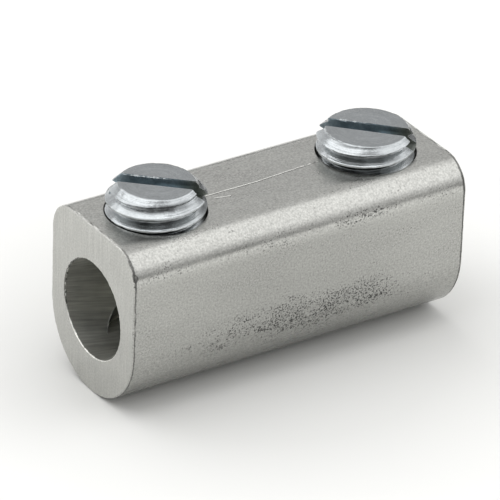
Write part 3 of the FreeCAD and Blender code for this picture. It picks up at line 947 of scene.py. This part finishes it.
class SPLICE_OT_stage(bpy.types.Operator):
    """Set up the pale floor, the soft light and the camera"""

    bl_idname = "splice.make_stage"
    bl_label = "Make Stage"

    def execute(self, context):
        stage = context.scene.splice_stage
        self.make_floor(stage)
        self.make_cards(stage)
        self.make_world(context.scene, stage)
        self.make_lamps(stage)
        self.make_camera(context.scene, stage)
        context.scene.view_settings.view_transform = "Standard"
        return {"FINISHED"}

    def flat_panel(self, name, width, depth, place, material):
        """A flat stage panel, which lies in its own X and Y before it is placed."""
        corners = [place @ Vector((x * width / 2, y * depth / 2, 0.0))
                   for x, y in ((-1, -1), (1, -1), (1, 1), (-1, 1))]
        mesh = bpy.data.meshes.new(name)
        mesh.from_pydata(corners, [], [(0, 1, 2, 3)])
        mesh.materials.append(material)
        panel = new_object(name, mesh)
        return panel

    def make_floor(self, stage):
        """A matt floor that clears to white away from the object, but keeps its shadow."""
        material, add = new_material("Pale Floor")
        where = add("ShaderNodeTexCoord").outputs["Object"]
        far = add(VECTOR, where, (BODY_HIGH.x / 2, 0.0, BODY_LOW.z),
                  operation="DISTANCE").outputs["Value"]
        near, clear = (
            add(RANGE, far, first * MM, last * MM, 0.0, share * stage.floor_glow)
            for first, last, share in ((15, 27, 0.25), (34, 85, 0.75)))
        clear = add("ADD", near, clear)
        glow = add("MULTIPLY", seen_rays(add), clear)
        shader = add("ShaderNodeBsdfPrincipled",
                     {"Base Color": tuple(stage.floor_colour), "Roughness": 1.0,
                      "Specular IOR Level": 0.0, "Emission Color": WHITE,
                      "Emission Strength": glow})
        add("ShaderNodeOutputMaterial", shader)
        floor_size = 4.0
        place = Matrix.Translation((CAD_BOX[1].x / 2, 0.0, CAD_BOX[0].z))
        self.flat_panel("floor", floor_size, floor_size, place, material)

    def make_cards(self, stage):
        """A grey ceiling and two low dark cards that give the metal something to reflect."""
        centre = Matrix.Translation((BODY_HIGH.x / 2, 0.0, 0.0))
        grey, add = new_material("Grey Ceiling")
        glow = add("ShaderNodeEmission", WHITE, stage.ceiling_level)
        add("ShaderNodeOutputMaterial", glow)
        ceiling_size = 4.6
        overhead = centre @ Matrix.Translation((0.0, 0.0, stage.ceiling_height))
        panels = [self.flat_panel("ceiling", ceiling_size, ceiling_size, overhead, grey)]
        dark, add = new_material("Dark Card")
        matt = add("ShaderNodeBsdfDiffuse", tuple(stage.card_colour))
        add("ShaderNodeOutputMaterial", matt)
        stood_up = Matrix.Rotation(math.radians(90), 4, "X")
        for name, degrees, back, high, wide, tall in (
                ("dark_card", 29.0, -0.35, 0.03, 0.8, 0.074),
                ("back_card", -50.0, 0.35, 0.02, 0.45, 0.09)):
            turned = centre @ Matrix.Rotation(math.radians(degrees), 4, "Z")
            place = turned @ Matrix.Translation((0.0, back, high)) @ stood_up
            panels.append(self.flat_panel(name, wide, tall, place, dark))
        for panel in panels:
            panel.visible_camera = False

    def make_world(self, scene, stage):
        """White to the camera and in reflections, a plain grey sky as light."""
        world = bpy.data.worlds.new("Studio")
        world.use_nodes = True
        world.node_tree.nodes.clear()
        add = partial(add_node, world.node_tree)
        strength = add(RANGE, seen_rays(add), 0.0, 1.0, stage.sky_level, 1.0)
        back = add("ShaderNodeBackground", WHITE, strength)
        add("ShaderNodeOutputWorld", back)
        scene.world = world

    def make_lamps(self, stage):
        """Softboxes in front at the right, overhead at the left, and low at the right end."""
        middle = Vector((BODY_HIGH.x / 2, 0.0, 0.0))
        for name, towards, wide, deep, radiance in (
                ("front_softbox", (0.489, -0.395, 0.775), 0.62, 0.68, stage.front_level),
                ("back_softbox", (-0.30, 0.27, 0.90), 0.70, 0.84, stage.back_level),
                ("side_softbox", (0.93, -0.12, 0.35), 0.30, 0.36, stage.side_level)):
            data = bpy.data.lights.new(name, "AREA")
            data.shape = "RECTANGLE"
            data.size, data.size_y = wide, deep
            data.energy = radiance * math.pi * wide * deep
            lamp = new_object(name, data)
            away = Vector(towards).normalized()
            # The width lies along the bar, or upright for the softbox at the bar's end.
            side = Vector((1.0, 0.0, 0.0)) if abs(away.x) < 0.8 else Vector((0.0, 0.0, 1.0))
            side = (side - away * side.dot(away)).normalized()
            turn = Matrix((side, away.cross(side), away)).transposed()
            lamp.location = middle + away * stage.softbox_distance
            lamp.rotation_mode = "QUATERNION"
            lamp.rotation_quaternion = turn.to_quaternion()

    def make_camera(self, scene, stage):
        data = bpy.data.cameras.new("camera")
        data.lens = stage.lens
        data.clip_start, data.clip_end = 0.01, 10.0
        camera = new_object("camera", data)
        a, e = stage.azimuth, stage.elevation
        back = Vector((math.sin(a) * math.cos(e), -math.cos(a) * math.cos(e), math.sin(e)))
        camera.location = Vector(stage.aim) + back * stage.distance
        camera.rotation_mode = "QUATERNION"
        roll = Quaternion((0.0, 0.0, 1.0), stage.roll)
        camera.rotation_quaternion = back.to_track_quat("Z", "Y") @ roll
        scene.camera = camera


class SPLICE_PT_panel(bpy.types.Panel):
    """Lists the pieces of the cable splice"""

    bl_idname = "SPLICE_PT_panel"
    bl_label = "Cable Splice"
    bl_space_type = "VIEW_3D"
    bl_region_type = "UI"
    bl_category = "Cable Splice"

    def draw(self, context):
        for group, operator in (("splice_barrel", SPLICE_OT_barrel),
                                ("splice_screws", SPLICE_OT_screws),
                                ("splice_stage", SPLICE_OT_stage)):
            settings = getattr(context.scene, group)
            box = self.layout.box()
            for name in settings.bl_rna.properties.keys():
                if name not in ("rna_type", "name"):
                    box.prop(settings, name)
            box.operator(operator.bl_idname)


CLASSES = (BarrelSettings, ScrewSettings, StageSettings, SPLICE_OT_barrel,
           SPLICE_OT_screws, SPLICE_OT_stage, SPLICE_PT_panel)


def register():
    for made in CLASSES:
        bpy.utils.register_class(made)
    bpy.types.Scene.splice_barrel = PointerProperty(type=BarrelSettings)
    bpy.types.Scene.splice_screws = PointerProperty(type=ScrewSettings)
    bpy.types.Scene.splice_stage = PointerProperty(type=StageSettings)


def unregister():
    del bpy.types.Scene.splice_barrel
    del bpy.types.Scene.splice_screws
    del bpy.types.Scene.splice_stage
    for made in reversed(CLASSES):
        bpy.utils.unregister_class(made)


def main():
    register()
    bpy.ops.splice.make_barrel()
    bpy.ops.splice.make_screws()
    bpy.ops.splice.make_stage()


if __name__ == "__main__":
    main()
